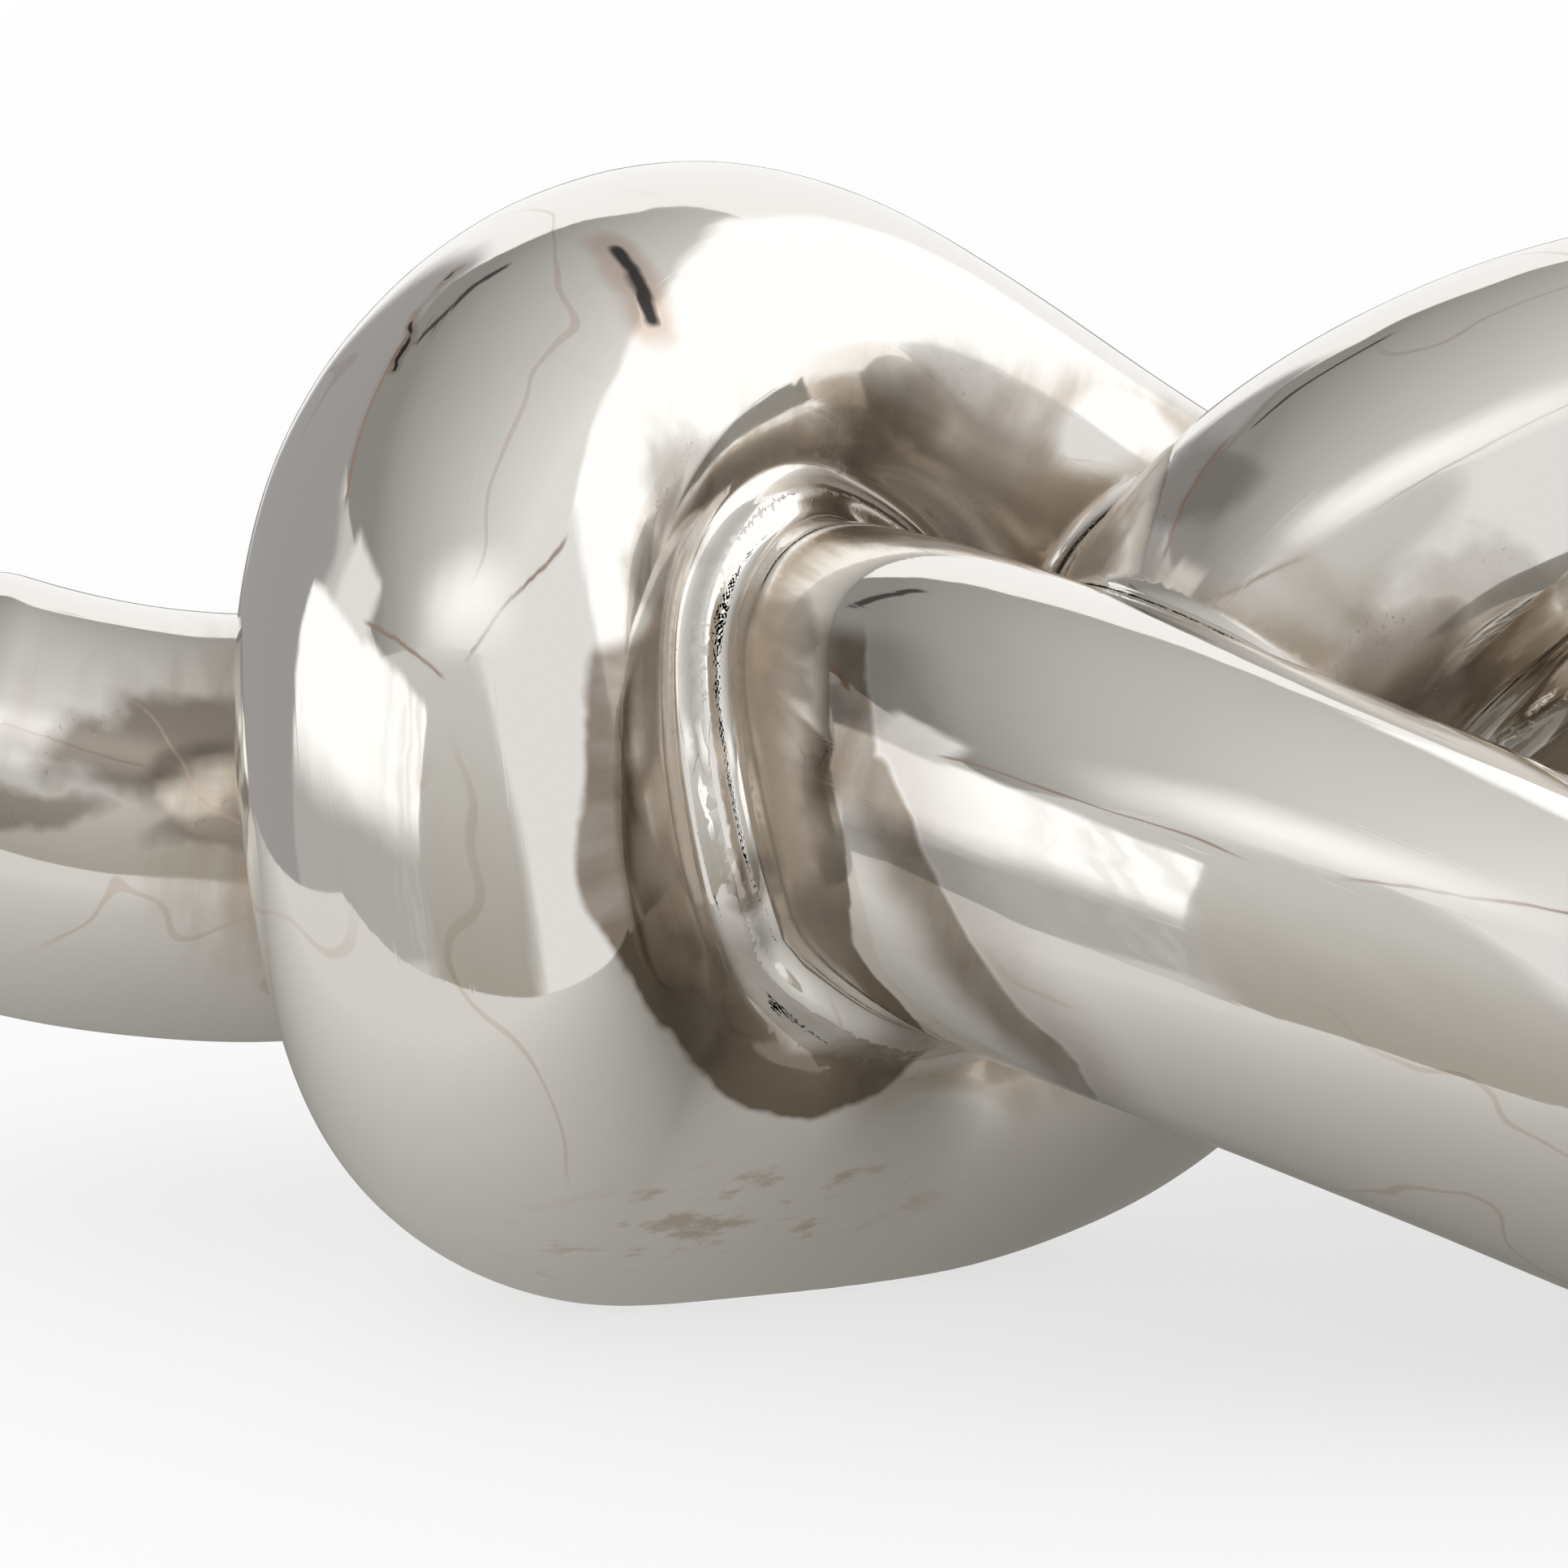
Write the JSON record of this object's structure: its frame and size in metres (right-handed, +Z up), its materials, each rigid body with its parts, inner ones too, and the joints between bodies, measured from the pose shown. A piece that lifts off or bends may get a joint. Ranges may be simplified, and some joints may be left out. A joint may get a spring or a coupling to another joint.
{
  "type": "knot sculpture",
  "caption": "Figure-eight knot tied in a thick round strand of hollow silver-plated ceramic, lying on flats ground under its loops, as a table ornament.",
  "frame": {"origin": "on the table, under the middle of the knot's outline", "axes": "+X along the knot from the left tail to the right tail, +Y away from the viewer of the picture, +Z up"},
  "size_m": [0.4938, 0.2094, 0.1837],
  "materials": {
    "silver_plate": "polished",
    "plated_slip": "polished"
  },
  "bodies": {
    "root": {"left_tail": "silver_plate", "front_strand": "silver_plate", "right_loop_base": "silver_plate", "right_loop_crown": "silver_plate", "middle_strand": "silver_plate", "left_loop_base": "silver_plate", "left_loop_crown": "silver_plate", "back_strand": "silver_plate", "right_tail": "silver_plate", "seam_left_tail_to_front_strand": "plated_slip", "seam_front_strand_to_right_loop_base": "plated_slip", "seam_right_loop_base_to_right_loop_crown": "plated_slip", "seam_right_loop_crown_to_middle_strand": "plated_slip", "seam_middle_strand_to_left_loop_base": "plated_slip", "seam_left_loop_base_to_left_loop_crown": "plated_slip", "seam_left_loop_crown_to_back_strand": "plated_slip", "seam_back_strand_to_right_tail": "plated_slip", "bond_front_strand_to_left_loop_base": "plated_slip", "bond_front_strand_to_left_loop_crown": "plated_slip", "bond_front_strand_to_middle_strand": "plated_slip", "bond_back_strand_to_right_loop_base": "plated_slip", "bond_back_strand_to_right_loop_crown": "plated_slip", "bond_back_strand_to_middle_strand": "plated_slip"}
  },
  "joints": []
}
